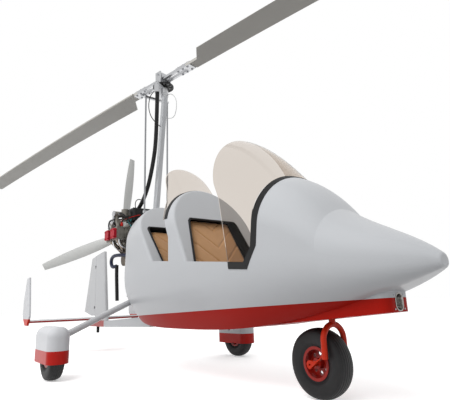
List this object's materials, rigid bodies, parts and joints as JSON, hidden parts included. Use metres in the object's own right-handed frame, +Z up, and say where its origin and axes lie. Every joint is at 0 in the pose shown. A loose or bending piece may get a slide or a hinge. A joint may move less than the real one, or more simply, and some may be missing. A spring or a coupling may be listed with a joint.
{
  "type": "gyrocopter",
  "caption": "Open tandem gyrocopter with a pod hull, bent windscreens, pusher propeller, teetering rotor, spatted main wheels, steered nose wheel and a fin and rudder tail.",
  "frame": {"origin": "on the ground below the centre of the rotor", "axes": "+X to the nose, +Y to port, +Z up"},
  "size_m": [8.0663, 1.921, 2.661],
  "materials": {
    "white": "gloss",
    "red": "gloss",
    "screen": "clear tinted sheet",
    "trim": "satin",
    "leather": "quilted",
    "liner": "matt",
    "lamp": "polished reflector",
    "frame": "satin",
    "alloy": "satin",
    "steel": "brushed",
    "black_metal": "satin",
    "hose": "satin",
    "blade": "satin",
    "prop": "satin",
    "prop_red": "anodised",
    "cast": "cast",
    "exhaust": "heat stained",
    "core": "matt",
    "tyre": "matt",
    "rim_red": "gloss",
    "fork_red": "gloss"
  },
  "bodies": {
    "airframe": {"hull_shell": "white", "belly_pan": "red", "centre_fairing": "white", "rear_fairing": "white", "front_screen": "screen", "front_trim": "trim", "rear_screen": "screen", "rear_trim": "trim", "seat_front": "leather", "seat_rear": "leather", "seat_base": "liner", "instrument_panel": "liner", "control_stick": "black_metal", "landing_lamp": "lamp", "keel_boom": "frame", "mast": "frame", "rotor_head": "alloy", "prerotator": "black_metal", "flex_shaft": "hose", "control_rod_left": "steel", "control_rod_right": "steel", "engine_block": "cast", "gearbox": "cast", "airbox": "black_metal", "exhaust": "exhaust", "radiator": "core", "gear_bow": "white", "axle_left": "steel", "axle_right": "steel", "spat_left": "white", "spat_right": "white", "stabilizer": "white", "tip_fin_left": "white", "tip_fin_right": "white", "centre_fin": "white", "tail_skid": "hose"},
    "rotor_mast": {"rotor_spindle": "alloy", "ring_gear": "black_metal"},
    "rotor": {"hub_bar": "alloy", "blade_fore": "blade", "blade_aft": "blade"},
    "propeller": {"prop_hub": "prop_red", "prop_blade_1": "prop", "prop_blade_2": "prop", "prop_blade_3": "prop"},
    "steering": {"nose_fork": "fork_red"},
    "nose_wheel": {"nose_rim": "rim_red", "nose_tyre": "tyre"},
    "wheel_left": {"rim_left": "rim_red", "tyre_left": "tyre"},
    "wheel_right": {"rim_right": "rim_red", "tyre_right": "tyre"},
    "rudder_body": {"rudder": "white"}
  },
  "joints": [
    {"name": "rotor_spin", "type": "hinge", "parent": "airframe", "child": "rotor_mast", "pos_m": [0, 0, 2.588], "axis": [-0.0209, 0, 0.9998], "continuous": true},
    {"name": "rotor_teeter", "type": "hinge", "parent": "rotor_mast", "child": "rotor", "pos_m": [-0.00094, 0, 2.63299], "axis": [-0.2198, 0.9755, -0.0046], "range_deg": [-5, 5]},
    {"name": "propeller_spin", "type": "hinge", "parent": "airframe", "child": "propeller", "pos_m": [-0.881, 0, 1.228], "axis": [1, 0, 0], "continuous": true},
    {"name": "nose_steer", "type": "hinge", "parent": "airframe", "child": "steering", "pos_m": [1.786, 0, 0.381], "axis": [0, 0, 1], "range_deg": [-25, 25]},
    {"name": "nose_wheel_spin", "type": "hinge", "parent": "steering", "child": "nose_wheel", "pos_m": [1.689, 0, 0.174], "axis": [0, 1, 0], "continuous": true},
    {"name": "wheel_left_spin", "type": "hinge", "parent": "airframe", "child": "wheel_left", "pos_m": [-0.107, 0.855, 0.174], "axis": [0, 1, 0], "continuous": true},
    {"name": "wheel_right_spin", "type": "hinge", "parent": "airframe", "child": "wheel_right", "pos_m": [-0.107, -0.855, 0.174], "axis": [0, 1, 0], "continuous": true},
    {"name": "rudder_turn", "type": "hinge", "parent": "airframe", "child": "rudder_body", "pos_m": [-1.64, 0, 0.75], "axis": [0, 0, 1], "range_deg": [-25, 25]}
  ],
  "couplings": [
    {"joint": "rudder_turn", "follows": "nose_steer", "ratio": -1}
  ]
}
